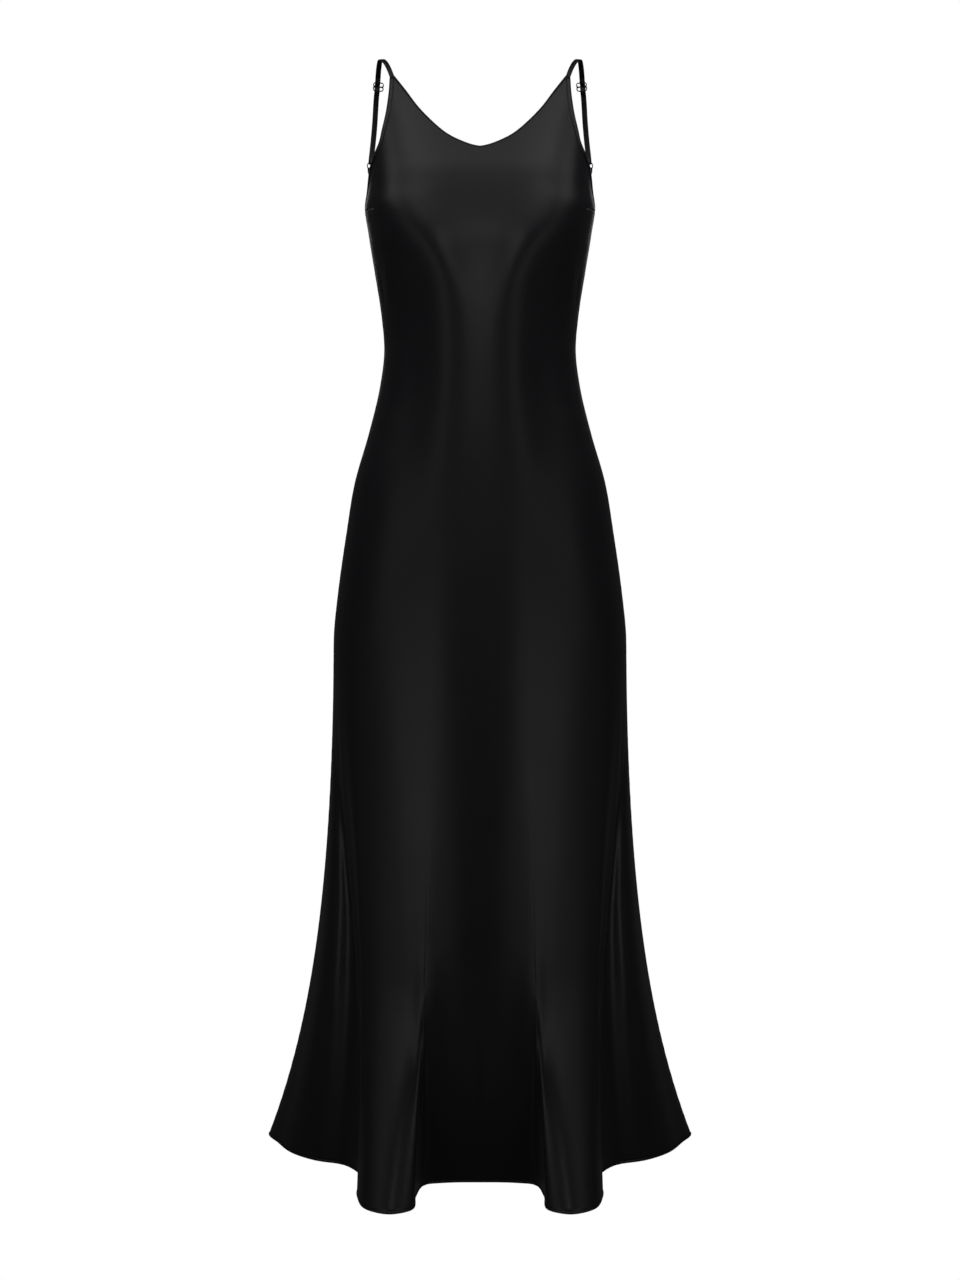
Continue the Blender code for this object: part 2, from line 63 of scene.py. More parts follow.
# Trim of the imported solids
CLOTH = 1.2 * MM
GAP = 0.3 * MM
BINDING_WIDTH = 5.5 * MM
STRAP_WIDTH = 6.4 * MM
STRAP_AT_RING = 5.2 * MM
STRAP_THICKNESS = 0.9 * MM
RING_RADIUS = 4.5 * MM
WIRE = 0.6 * MM
SLIDER_HALF_WIDTH = 6.6 * MM
SLIDER_HALF_HEIGHT = 5.6 * MM
SLIDER_THICKNESS = 1.2 * MM
SLIDER_BAR = 1.3 * MM
SLIDER_SQUARE = 0.55
SLIDER_NIP = 0.10
SLIDER_SHIFT = 1.3 * MM
SLIDER_SOFT = 0.22 * MM
TAB_TUCK = 14 * MM
LAYER_LIFT = (STRAP_THICKNESS + GAP) / 2 + 0.1 * MM
TURN_LIFT = WIRE + GAP + STRAP_THICKNESS / 2
WEAVE_LIFT = (SLIDER_THICKNESS + STRAP_THICKNESS) / 2 + 1.5 * GAP
TURN_INSET = RING_RADIUS - WIRE - 0.4 * MM
STRAP_EASE = 7 * MM
TAB_EASE = 6 * MM
TAB_DEPTH = CLOTH + GAP + 1.5 * STRAP_THICKNESS + GAP

# Edges of the cloth: half thicknesses, and where each edge's middle lies in its height or width
HEM_HALF_THICK = 1.15 * MM
NECK_HALF_THICK = 0.85 * MM
ROLL_MIDDLE = 0.38
BINDING_HALF_THICK = 1.15 * MM
BINDING_MIDDLE = 0.47
BINDING_PROUD = 0.25 * MM
BINDING_LAP = 0.1 * MM
UNDERARM_TURN = ((-2, 0.3), (-1, 0.65), (0, 1.0), (1, 0.65), (2, 0.3))

# Stitches: their length as a share of the pitch, how uneven they are, and where they lie on the edges
STITCH_SHARE = 0.72
STITCH_UNEVEN = 0.12
HEM_STITCH_SHARE = 0.88
HEM_STITCH_RISE = 0.3 * MM
HEM_STITCH_PROUD = 0.12 * MM
BINDING_STITCH_SHARE = 0.80
BINDING_STITCH_PROUD = 1.25 * MM

# Levels of the cut
HEM = -1342 * MM
KNEE = -1080 * MM
HIP = -720 * MM
YOKE = -205 * MM
UNDERARM = -178 * MM

# Sections of the body form: half width, depth before and behind the side seams, and how square the
# front and back quarters are, where 2 is an ellipse. The last column is how far the front stands out
# down its middle, where it hangs straight from the bust to the belly.
#    height, half_width, front, back, front_square, back_square, middle
SECTIONS = (
    (-720, 178.6, 113, 126, 2.2, 2.2, 5),
    (-680, 177.6, 113, 127, 2.2, 2.2, 5),
    (-640, 173.3, 113, 127, 2.2, 2.2, 5),
    (-560, 161.6, 111, 122, 2.2, 2.2, 7),
    (-500, 151.2, 107, 112, 2.2, 2.2, 11),
    (-440, 133.6, 102, 98, 2.2, 2.2, 16.5),
    (-384, 120.0, 97, 84, 2.2, 2.25, 21.5),
    (-344, 115.0, 96, 79, 2.25, 2.3, 22.5),
    (-300, 118.2, 99, 80, 2.3, 2.4, 19),
    (-250, 125.8, 107, 83, 2.5, 2.7, 9.5),
    (-206, 132.6, 112, 84, 2.8, 3.2, 3.5),
    (-178, 136.0, 111, 82, 2.9, 3.6, 0.5),
    (-160, 132.8, 108, 80, 3.0, 3.7, 0),
    (-140, 131.5, 103, 78, 3.1, 3.8, 0),
    (-105, 132.0, 88, 73, 3.1, 3.8, 0),
    (-62, 133.5, 66, 66, 3.1, 3.7, 0),
    (-22, 134.0, 41, 56, 3.0, 3.6, 0),
    (20, 134.0, 16, 40, 3.0, 3.6, 0),
)

# Fullness of the bust on each side of the centre line, lower towards it, and the width of the middle
BUST_X = 68 * MM
BUST_Z = -228 * MM
BUST_WIDE = 54 * MM
BUST_HIGH = 44 * MM
BUST_DEEP = 9.5 * MM
BUST_LEAN = 0.62
BUST_CLEAR = 30 * MM
MIDDLE_WIDE = 66 * MM
MIDDLE_SQUARE = 4

# Fold lines of the skirt, from the centre line to the side seam
#    fold, hip_share, knee_x, knee_y, hem_x, hem_y, steps
FRONT_FOLDS = (
    ("centre", 0.00, 0, -119, 0, -79, 2),
    ("valley_side", 0.13, 33, -117.5, 45, -81, 1),
    ("flute_root", 0.20, 57, -113.5, 64, -85, 1),
    ("flute_inner_wall", 0.28, 66, -111.5, 76, -122, 2),
    ("flute_inner_turn", 0.36, 76, -108.5, 80, -162, 2),
    ("flute_crown", 0.46, 92, -103, 104, -173, 2),
    ("flute_outer_turn", 0.58, 122, -90.5, 133, -159, 2),
    ("flute_outer_wall", 0.69, 140, -79, 145.5, -122, 2),
    ("side_trough", 0.80, 145, -60, 146, -57, 1),
    ("wing_inner", 0.86, 157, -36, 168, -25, 1),
    ("wing_middle", 0.905, 174, -31, 205, -10, 1),
    ("wing_shoulder", 0.945, 190, -18, 237, 15, 2),
    ("wing_outer", 0.975, 201, 9, 259, 51, 1),
    ("side_seam", 1.00, 207.1, 44, 274.2, 84, 0),
)
BACK_FOLDS = (
    ("centre", 0.00, 0, 133, 0, 138, 2),
    ("valley_side", 0.14, 38, 136, 45, 139, 1),
    ("flute_root", 0.22, 58, 144, 66, 150, 1),
    ("flute_inner_wall", 0.30, 74, 156, 82, 180, 1),
    ("flute_inner_turn", 0.38, 88, 164, 94, 205, 2),
    ("flute_crown", 0.48, 108, 167, 118, 219, 2),
    ("flute_outer_turn", 0.60, 131, 160, 143, 208, 2),
    ("flute_outer_wall", 0.70, 149, 140, 158, 176, 1),
    ("side_trough", 0.80, 160, 114, 172, 140, 2),
    ("wing_inner", 0.87, 174, 94, 200, 118, 2),
    ("wing_turn", 0.94, 194, 70, 250, 104, 2),
    ("side_seam", 1.00, 207.1, 44, 274.2, 84, 0),
)

# How the skirt falls: the strip beside the seam, how far each ring turns on past the seam, how steeply
# the folds leave the hip and the hem, and how the front's middle hangs straight and folds late
SEAM_STRIP = 2.5 * MM
FRONT_TURN = 1.3
BACK_TURN = 0.4
HIP_FALL = 0.31
HEM_FALL = 1.49
KNEE_HOLD = 0.1
HEM_LATE = (2.2, 0.9, 1.3)
HOLD_FROM = 0.62

Cut = namedtuple("Cut", "neck dip armhole corner rows")
FRONT_CUT = Cut(
    neck=(
        (-117.9, 0), (-111, 22), (-101, 39.3), (-86, 55.6), (-65.5, 73.2), (-49.5, 84), (-36, 93.5),
        (-26.7, 100.3),
    ),
    dip=0.1,
    armhole=(
        (-178, 1.0), (-168, 0.925), (-152, 0.848), (-135, 0.773), (-123, 0.706),
        (-110, 0.655), (-95, 0.640), (-75, 0.629), (-50, 0.643), (-29.4, 0.673),
    ),
    corner=(0.50, 0.87),
    rows=44,
)
BACK_CUT = Cut(
    neck=((-178, 0), (-173, 50), (-160, 92), (-140, 121)),
    dip=0.0,
    armhole=((-178, 1.0), (-168, 0.93), (-156, 0.87), (-140, 0.82)),
    corner=(0.0, 1.0),
    rows=20,
)

# The right strap's line from above the shoulder point down through the ring, and the way that it faces
#    x, y, z, face_x, face_y, face_z
STRAP_LINE = (
    (107.3, -25.0, -15.8, 0.25, -0.55, 0.80),
    (113.0, -12.0, -5.2, 0.20, -0.35, 0.92),
    (118.0, 2.0, -0.6, 0.10, 0.00, 1.00),
    (120.8, 17.5, -5.8, 0.10, 0.50, 0.86),
    (123.0, 30.5, -19.0, 0.10, 0.86, 0.50),
    (125.5, 39.0, -40.0, 0.15, 0.96, 0.20),
    (127.7, 43.5, -68.0, 0.25, 0.96, 0.05),
    (130.4, 43.5, -95.0, 0.45, 0.89, 0.00),
    (132.4, 41.8, -111.5, 0.60, 0.80, 0.00),
    (133.0, 41.1, -117.7, 0.60, 0.80, 0.00),
    (133.6, 40.4, -123.9, 0.60, 0.80, 0.00),
)
APEX_ROW = 3
RING_ROW = 10
STRAP_START = 0.6 * MM
SLIDER_HEIGHT = -25 * MM
TAB_SHARE = 0.806

# Creases in the cloth, on both halves: places from the centre line and from the strap tops, how far
# the cloth stands out (or in, below zero) and how wide the crease is.
Crease = namedtuple("Crease", "path rise width")
FRONT_CREASES = (
    Crease(((127, -216), (118, -224), (103, -229)), 1.3, 4),
    Crease(((125, -228), (113, -234), (97, -236)), -1.1, 4),
    Crease(((123, -239), (114, -243), (101, -248)), 1.0, 3.5),
    Crease(((119, -249), (115, -270), (113, -296)), -1.3, 3),
    Crease(((109, -238), (108, -262), (106, -290)), 1.1, 6),
    Crease(((112, -322), (101, -331), (84, -334)), -0.7, 6),
    Crease(((113, -352), (98, -349), (78, -356)), 0.6, 7),
    Crease(((124, -418), (108, -409), (86, -412)), -0.5, 8),
    Crease(((58, -1040), (60, -1120), (61, -1200), (61, -1345)), 3.0, 16),
    Crease(((170, -760), (164, -880), (156, -980), (149, -1060), (141, -1180), (138, -1300)), 2.4, 6),
    Crease(((178, -800), (169, -900), (160, -1000), (153, -1080), (147, -1190)), -2.6, 6),
    Crease(((172, -1000), (176, -1080), (183, -1160)), 1.6, 9),
)
BACK_CREASES = (
    Crease(((124, -214), (113, -222), (98, -226)), 1.2, 4),
    Crease(((122, -233), (110, -238), (92, -239)), -1.0, 4),
    Crease(((4, -316), (34, -324), (70, -320)), -1.3, 7),
    Crease(((112, -340), (88, -336), (58, -345)), 1.1, 8),
    Crease(((8, -352), (44, -360), (84, -355)), -1.0, 8),
    Crease(((118, -390), (96, -382), (66, -388)), -0.8, 9),
    Crease(((40, -560), (46, -720), (52, -900)), 1.2, 18),
    Crease(((150, -640), (140, -800), (146, -960)), -1.6, 16),
)
CREASE_FADE = 0.8

# Each cut's width at the hem and length, and its area, laid flat, in metres
FRONT_FLAT = ((1.08, 1.35), 0.66)
BACK_FLAT = ((0.95, 1.22), 0.58)

# Counts, steps and limits of the meshes
FINER = 4
SEAM_PARTS = 3
SKIRT_ROWS = 120
TORSO_ROWS = 96
SAMPLES = 721
STRAP_STEP = 1.6 * MM
SLIDER_STEP = 0.5 * MM
LOOP_STEPS = 9
TAB_STEPS = 14
SLIDER_CORNERS = 64
WELD = 0.001 * MM
SHARP = math.radians(60)

# The side seam: how deep and wide it is drawn in, and the puckers beside it
SEAM_DEPTH = 0.8 * MM
SEAM_SPREAD = 1.6 * MM
SEAM_EASE = 12 * MM
PUCKER_DEPTH = 0.16 * MM
PUCKER_SPREAD = 9 * MM
PUCKER_LENGTHS = (2.7 * MM, 31 * MM, 53 * MM)

Cloth = namedtuple("Cloth", "points normals across underarm side")


def smooth(at, knots, values, slopes=()):
    """Cubic curve through the values, with slopes from neighbouring knots or given as (knot, slope)."""
    knots = np.asarray(knots, float)
    values = np.asarray(values, float)
    leaning = np.gradient(values, knots, axis=0)
    for knot, slope in dict(slopes).items():
        leaning[knot] = slope
    return curve(at, knots, values, leaning)


def curve(at, knots, values, slopes):
    """Cubic curve through the values with the slopes, along the first axis of both."""
    at = np.asarray(at, float)
    low = np.clip(np.searchsorted(knots, at, side="right") - 1, 0, len(knots) - 2)
    step = knots[low + 1] - knots[low]
    t = (at - knots[low]) / step
    start = values[low] + t * t * (3 - 2 * t) * (values[low + 1] - values[low])
    return start + step * t * (1 - t) * ((1 - t) * slopes[low] - t * slopes[low + 1])


def eased(at, knots, values):
    """Curve through the values that is level at each of them, so it never runs past one."""
    return smooth(at, knots, values, {k: 0.0 for k in range(len(knots))})


def walked(points):
    """Length along a polyline up to each of its points."""
    return np.concatenate([[0.0], np.cumsum(np.linalg.norm(np.diff(points, axis=0), axis=1))])


def unit(vectors):
    return vectors / np.linalg.norm(vectors, axis=-1, keepdims=True)


class Side:
    """The right half of the front or back body form, from the centre line to the side seam."""

    def __init__(self, folds, sign, bust, seam_turn):
        rows = np.array([row[1:] for row in folds], float)
        heights, half, front, back, front_square, back_square, middle = np.array(SECTIONS, float).T
        own = (front, front_square, middle) if sign < 0 else (back, back_square, middle * 0)
        self.sign = sign
        self.heights = heights * MM
        self.form = np.stack([half, *own], axis=1) * (MM, MM, 1, MM)
        self.bust = bust
        self.seam_turn = seam_turn
        self.hip_share = rows[:, 0]
        self.knee = rows[:, 1:3] * MM
        self.hem = rows[:, 3:5] * MM
        length = walked(self.hem)
        self.knots = length / length[-1]
        places = [
            np.linspace(start, end, int(steps) * FINER, endpoint=False)
            for start, end, steps in zip(self.knots[:-1], self.knots[1:], rows[:-1, 5])
        ]
        strip = np.linspace(1 - SEAM_STRIP / length[-1], 1.0, SEAM_PARTS + 1)
        self.columns = np.concatenate([*places, strip])
        self.knee_ring = self.ring(self.knee)
        self.hem_ring = self.ring(self.hem)

    @functools.lru_cache(maxsize=4096)
    def section(self, height):
        """Points of the torso's section at a height, and the length walked to each."""
        turn = np.linspace(0, math.pi / 2, SAMPLES)
        half, deep, square, middle = smooth(height, self.heights, self.form)
        x = half * np.sin(turn) ** (2 / square)
        y = deep * np.cos(turn) ** (2 / square)
        x[-1], y[-1] = half, 0.0
        out = x - BUST_X
        rise = height - BUST_Z - BUST_LEAN * out
        spread = (out / BUST_WIDE) ** 2 + (rise / BUST_HIGH) ** 2
        middle = middle * np.exp(-((x / MIDDLE_WIDE) ** MIDDLE_SQUARE))
        clear = 1 - np.exp(-((x / BUST_CLEAR) ** 2))
        y += (self.bust * clear * np.exp(-spread) + middle) * y / deep
        points = np.stack([x, self.sign * y], axis=1)
        return points, walked(points)

    def quarter(self, height):
        """Length from the centre line to the side seam."""
        return self.section(float(height))[1][-1]

    def torso(self, share, height):
        points, length = self.section(float(height))
        at = np.asarray(share) * length[-1]
        return np.stack([np.interp(at, length, points[:, k]) for k in (0, 1)], axis=-1)

    def length_at(self, x, height):
        """Length from the centre line to a half width."""
        points, length = self.section(float(height))
        return np.interp(x, points[:, 0], length)

    def ring(self, table):
        """Points of a skirt ring. It leaves the centre line and meets the side seam square to X."""
        run = self.seam_turn * abs(table[-1, 1] - table[-2, 1]) / (1 - self.knots[-2])
        x = smooth(self.columns, self.knots, table[:, 0], {-1: 0.0})
        y = smooth(self.columns, self.knots, table[:, 1], {0: 0.0, -1: -self.sign * run})
        return np.stack([x, y], axis=1)

    def shares(self, height):
        """Shares of the way round the torso, with the last strip widening up to the binding's width."""
        share = smooth(self.columns, self.knots, self.hip_share)
        strip = 1 - share[-1 - SEAM_PARTS]
        bound = BINDING_WIDTH / self.quarter(YOKE)
        up = np.clip((height - YOKE) / (100 * MM) + 1, 0, 1)
        strip += (bound - strip) * up * up * (3 - 2 * up)
        main = share[:-SEAM_PARTS] / share[-1 - SEAM_PARTS] * (1 - strip)
        return np.concatenate([main, 1 - strip * (1 - np.arange(1, SEAM_PARTS + 1) / SEAM_PARTS)])

    def level(self, height):
        """Points of the body form at the height of one row of the mesh."""
        if height >= HIP:
            return self.torso(self.shares(height), height)
        hip = self.torso(self.shares(HIP), HIP)
        knee, hem = self.knee_ring, self.hem_ring
        slopes = np.array([
            HEM_FALL * (knee - hem) / (KNEE - HEM),
            (hip - hem) / (HIP - HEM),
            HIP_FALL * (hip - knee) / (HIP - KNEE),
        ])
        if self.sign < 0:
            free = np.clip((self.columns - HOLD_FROM) / (1 - HOLD_FROM), 0, 1)
            late = np.interp(self.columns, [0, self.knots[2], self.knots[4]], HEM_LATE)
            slopes[0, :, 1] *= late + (1 - late) * free
            slopes[1, :, 1] *= KNEE_HOLD + (1 - KNEE_HOLD) * free
        return curve(height, np.array([HEM, KNEE, HIP]), np.array([hem, knee, hip]), slopes)


def edge_rows(side, cut):
    """The panel's outer edge in the flat pattern, and the line one binding's width inside it."""
    table = np.array(cut.armhole, float)
    z = np.linspace(YOKE, table[-1, 0] * MM, cut.rows + 1)
    under = int(np.argmin(np.abs(z - UNDERARM)))
    z[under] = UNDERARM
    share = smooth(np.maximum(z, UNDERARM), table[:, 0] * MM, table[:, 1])
    q = share * np.array([side.quarter(height) for height in z])
    edge = np.stack([q, z], axis=1)
    run = unit(np.gradient(edge, axis=0))
    run[0] = (0, 1)
    run[-1] = unit(np.array(cut.corner))
    inner = edge + BINDING_WIDTH * np.stack([-run[:, 1], run[:, 0]], axis=1)
    return edge, inner, under


def neckline(side, cut, end):
    """Points of the neckline in the flat pattern, from the centre line to the top corner."""
    table = np.array(cut.neck, float) * MM
    x = np.linspace(0, table[-1, 1], SAMPLES)
    z = smooth(x, table[:, 1], table[:, 0], {0: cut.dip})
    q = np.array([side.length_at(a, b) for a, b in zip(x, z)])
    line = np.stack([q, z], axis=1)
    return line + (end - line[-1]) * (x / x[-1])[:, None]


def yoke(side, cut):
    """The flat pattern above the yoke line, blended between its four edges, row by row."""
    edge, inner, under = edge_rows(side, cut)
    top = neckline(side, cut, inner[-1])
    share = smooth(side.columns, side.knots, side.hip_share)[:-SEAM_PARTS]
    across = share / share[-1]
    length = walked(top)
    top = np.stack([np.interp(across * length[-1], length, top[:, k]) for k in (0, 1)], axis=1)
    low = np.stack([across * inner[0, 0], np.full(len(across), YOKE)], axis=1)
    out = np.arange(1, SEAM_PARTS + 1)[:, None] / SEAM_PARTS
    pattern = []
    for j in range(cut.rows + 1):
        up = j / cut.rows
        c = across[:, None]
        centre = low[0] + up * (top[0] - low[0])
        blend = (1 - c) * centre + c * inner[j] + (1 - up) * low + up * top
        corners = (1 - up) * ((1 - c) * low[0] + c * low[-1]) + up * ((1 - c) * top[0] + c * top[-1])
        pattern.append(np.concatenate([blend - corners, inner[j] + out * (edge[j] - inner[j])]))
    return np.array(pattern), under


def panel(side, cut):
    """Rows of points of the right half panel from hem to neckline, and its row at the underarm."""
    skirt = np.linspace(HEM, HIP, SKIRT_ROWS, endpoint=False)
    torso = np.linspace(HIP, YOKE, TORSO_ROWS, endpoint=False)
    rows = []
    for height in (*skirt, *torso):
        level = side.level(height)
        rows.append(np.column_stack([level, np.full(len(level), height)]))
    pattern, under = yoke(side, cut)
    for row in pattern:
        level = [side.torso(length / side.quarter(height), height) for length, height in row]
        rows.append(np.column_stack([level, row[:, 1]]))
    return np.array(rows), SKIRT_ROWS + TORSO_ROWS + under


def facing(points, outward):
    """Ways that a grid of points faces, turned to the side that the way outward is on."""
    rows = np.gradient(points, axis=0)
    columns = np.gradient(points, axis=1)
    normals = unit(np.cross(columns, rows))
    return normals * np.sign((normals * outward).sum())


def creased(points, normals, creases):
    """The points moved along the normals by the creases, and the length across each row."""
    steps = np.linalg.norm(np.diff(points, axis=1), axis=2)
    across = np.concatenate([np.zeros((len(points), 1)), np.cumsum(steps, axis=1)], axis=1)
    heights = points[:, len(points[0]) // 3, 2]
    spots = np.stack([across, points[..., 2]], axis=-1)
    moved = np.zeros(points.shape[:2])
    for crease in creases:
        line = []
        for x, z in np.array(crease.path) * MM:
            row = int(np.argmin(np.abs(heights - z)))
            line.append((np.interp(x, np.maximum.accumulate(points[row, :, 0]), across[row]), z))
        line = np.array(line)
        length = walked(line)
        near = np.full(points.shape[:2], 1e9)
        along = np.zeros(points.shape[:2])
        for a, b, start, end in zip(line[:-1], line[1:], length[:-1], length[1:]):
            run = (b - a) / (end - start)
            t = np.clip((spots - a) @ run, 0, end - start)
            gap = np.linalg.norm(spots - a - t[..., None] * run, axis=-1)
            along = np.where(gap < near, start + t, along)
            near = np.minimum(near, gap)
        fade = np.sin(math.pi * np.clip(along / length[-1], 0, 1) * 0.999) ** CREASE_FADE
        moved += crease.rise * MM * fade * np.exp(-((near / (crease.width * MM)) ** 2))
    return points + normals * moved[..., None], across


def sewn_seam(points, normals, underarm):
    """The last columns drawn into the side seam, with the small uneven puckers of its stitching."""
    rows = slice(0, underarm + 1)
    out = np.linalg.norm(points[rows] - points[rows, -1:], axis=2)
    z = points[rows, -1, 2][:, None]
    short, long, longest = (z / length for length in PUCKER_LENGTHS)
    ripple = np.sin(short + 2.1 * np.sin(long)) * (0.6 + 0.4 * np.sin(longest))
    depth = SEAM_DEPTH * np.exp(-((out / SEAM_SPREAD) ** 2))
    depth = depth + PUCKER_DEPTH * ripple * np.exp(-((out / PUCKER_SPREAD) ** 2))
    ease = np.clip((points[underarm, -1, 2] - z) / SEAM_EASE, 0, 1)
    points[rows] -= normals[rows] * (depth * (0.35 + 0.65 * ease))[..., None]


@functools.lru_cache(maxsize=1)
def dress_form():
    """The right half of the front and back cloth."""
    form = {}
    sides = (
        ("front", Side(FRONT_FOLDS, -1, BUST_DEEP, FRONT_TURN), FRONT_CUT, FRONT_CREASES),
        ("back", Side(BACK_FOLDS, 1, 0.0, BACK_TURN), BACK_CUT, BACK_CREASES),
    )
    for name, side, cut, creases in sides:
        points, underarm = panel(side, cut)
        outward = (0, side.sign, 0)
        normals = facing(points, outward)
        points, across = creased(points, normals, creases)
        sewn_seam(points, normals, underarm)
        points[:, 0, 0] = 0.0
        form[name] = Cloth(points, facing(points, outward), across, underarm, side)
    front, back = form.values()
    rows = min(front.underarm, back.underarm) + 1
    back.points[:rows, -1, 1] = front.points[:rows, -1, 1]
    return form


def both_halves(half):
    """Points or ways in rows from the centre line, with their mirror images before them."""
    return np.concatenate([half[..., :0:-1, :] * (-1, 1, 1), half], axis=-2)


def armhole_edge(cloth):
    """Points of the armhole's edge from the underarm up, and the ways into the cloth and out of it."""
    edge = cloth.points[cloth.underarm:, -1]
    inner = cloth.points[cloth.underarm:, -1 - SEAM_PARTS]
    return edge, unit(inner - edge), cloth.normals[cloth.underarm:, -2]


def linked(name, data):
    """A new object of the data, in the scene."""
    made = bpy.data.objects.new(name, data)
    bpy.context.scene.collection.objects.link(made)
    return made


def add_object(mesh, finish):
    """A smooth object of the mesh in one material."""
    mesh.materials.clear()
    mesh.materials.append(finish)
    mesh.shade_smooth()
    return linked(mesh.name, mesh)


def piece(mesh, finish, node=None, wall=0):
    """A piece of the dress in one of the finishes, which may stand for a solid's node or get a wall."""
    made = add_object(mesh, finishes()[finish])
    if wall:
        shell = made.modifiers.new("Wall", "SOLIDIFY")
        shell.thickness = wall
        shell.offset = -1
    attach(made, BODY)
    if node:
        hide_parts(node)
    return made


def evaluated(name, helper):
    """A plain mesh of what a helper object's curve or modifier makes. The helper goes."""
    graph = bpy.context.evaluated_depsgraph_get()
    mesh = bpy.data.meshes.new_from_object(helper.evaluated_get(graph))
    bpy.data.objects.remove(helper)
    mesh.name = name
    return mesh


def outward_faces(mesh, weld=0.0):
    """Weld the points that are nearer than a length, and turn the faces outwards."""
    bm = bmesh.new()
    bm.from_mesh(mesh)
    if weld:
        bmesh.ops.remove_doubles(bm, verts=bm.verts, dist=weld)
    bmesh.ops.recalc_face_normals(bm, faces=bm.faces)
    bm.to_mesh(mesh)
    bm.free()


def quads(rows, columns, round_rows=0, round_columns=0):
    """Faces between rows of points, where 1 also joins the last row or column to the first."""
    j, i = np.indices((rows - 1 + round_rows, columns - 1 + round_columns))
    above, beside = (j + 1) % rows, (i + 1) % columns
    corners = ((j, i), (j, beside), (above, beside), (above, i))
    return np.stack([a * columns + b for a, b in corners], axis=-1).reshape(-1, 4).tolist()


def made_mesh(name, points, faces, uv=None):
    """A mesh, with the cloth's flat pattern in metres as the UV map that its weave follows."""
    mesh = bpy.data.meshes.new(name)
    mesh.from_pydata(points.reshape(-1, 3).tolist(), [], faces)
    if uv is not None:
        layer = mesh.uv_layers.new(name="weave")
        corners = np.empty(len(mesh.loops), np.int32)
        mesh.loops.foreach_get("vertex_index", corners)
        layer.uv.foreach_set("vector", np.asarray(uv, np.float32).reshape(-1, 2)[corners].ravel())
    return mesh


def swept_mesh(name, centres, across, faces, profile, widths=None, mirror=1):
    """A closed band: the profile's loop of (across, out) places carried along the centres."""
    widths = np.ones(len(centres)) if widths is None else widths
    profile = np.asarray(profile, float)
    count = len(profile)
    rings = (
        centres[:, None]
        + across[:, None] * (profile[None, :, :1] * widths[:, None, None])
        + faces[:, None] * profile[None, :, 1:]
    ) * (mirror, 1, 1)
    rows = len(centres)
    ends = [list(range(count))[::-1], list(range((rows - 1) * count, rows * count))]
    round_it = walked(np.concatenate([profile, profile[:1]]))[:-1]
    uv = np.stack(np.broadcast_arrays(round_it[None], walked(centres)[:, None]), axis=-1)
    mesh = made_mesh(name, rings, quads(rows, count, round_columns=1) + ends, uv)
    outward_faces(mesh)
    return mesh


def oval(half_wide, half_thick, power, corners=16):
    """A closed loop: an ellipse with squarer corners for a power below one."""
    turn = np.linspace(0, 2 * math.pi, corners, endpoint=False)
    round_it = np.stack([np.cos(turn), np.sin(turn)], axis=1)
    return np.sign(round_it) * np.abs(round_it) ** power * (half_wide, half_thick)


class Line:
    """The line that the strap and its tab follow, measured by length, with the way the cloth faces."""

    def __init__(self, rows):
        self.points = np.array([row[:3] for row in rows])
        self.faces = unit(np.array([row[3:] for row in rows]))
        self.length = walked(self.points)

    def at(self, s):
        spot, ahead = (smooth(length, self.length, self.points) for length in (s, s + MM))
        along = unit(ahead - spot)
        face = unit(smooth(s, self.length, self.faces))
        side = unit(np.cross(along, face))
        return spot, along, side, np.cross(side, along)

    def centres(self, stations):
        """Centre, way across and width of a band at each station of length, lift and width."""
        rows = [(self.at(s), lift, width) for s, lift, width in stations]
        centres = np.array([spot + face * lift for (spot, _, _, face), lift, _ in rows])
        across = np.array([side for (_, _, side, _), _, _ in rows])
        return centres, across, np.array([width for _, _, width in rows])


def loop(centre, way):
    """Stations of a band's turn through the ring, from the outer layer to the inner one."""
    turn = np.linspace(0, math.pi, LOOP_STEPS + 1)[1:-1]
    return [
        (centre + way * TURN_LIFT * math.sin(t), TURN_LIFT * math.cos(t), STRAP_AT_RING) for t in turn
    ]


def strap_stations(ring, slider):
    """Stations of the strap: over the shoulder, woven through the slider, round the ring and back up."""
    bars = SLIDER_HALF_HEIGHT - SLIDER_BAR / 2
    reach = bars + STRAP_EASE
    low = ring - TURN_INSET
    above, below, split = slider - reach, slider + reach, low - STRAP_EASE
    knots = (0, above, slider - bars, slider, slider + bars, below, split, low)
    lifts = (0, 0, -WEAVE_LIFT, WEAVE_LIFT, -WEAVE_LIFT, LAYER_LIFT, LAYER_LIFT, TURN_LIFT)
    widths = (BINDING_WIDTH, *[STRAP_WIDTH] * 6, STRAP_AT_RING)
    places = np.unique(np.concatenate([
        np.linspace(0, above, int(above / STRAP_STEP) + 1),
        np.linspace(above, below, int(2 * reach / SLIDER_STEP) + 1),
        np.linspace(below, split, int((split - below) / STRAP_STEP) + 1),
        np.linspace(split, low, LOOP_STEPS),
    ]).round(7))
    down = [(s, eased(s, knots, lifts), eased(s, knots, widths)) for s in places]
    tail_knots = (slider, slider + bars, below, split, low)
    tail_lifts = (-WEAVE_LIFT, -WEAVE_LIFT - 2 * LAYER_LIFT, -LAYER_LIFT, -LAYER_LIFT, -TURN_LIFT)
    up = [
        (s, eased(s, tail_knots, tail_lifts), eased(s, knots, widths))
        for s in places[::-1] if s >= slider
    ]
    return [*down, *loop(low, 1), *up]


def tab_stations(line, ring):
    """Stations of the tab: up from inside the panel, round the ring and down again."""
    high = ring + TURN_INSET
    knots = (high, high + TAB_EASE, line.length[-1])
    lifts = (TURN_LIFT, LAYER_LIFT, LAYER_LIFT)
    places = np.unique(np.concatenate([
        np.linspace(*knots[:2], LOOP_STEPS), np.linspace(*knots[1:], TAB_STEPS)
    ]).round(7))
    outer = [(s, eased(s, knots, lifts), STRAP_AT_RING) for s in places]
    inner = [(s, -lift, width) for s, lift, width in outer]
    return [*inner[::-1], *loop(high, -1)[::-1], *outer]


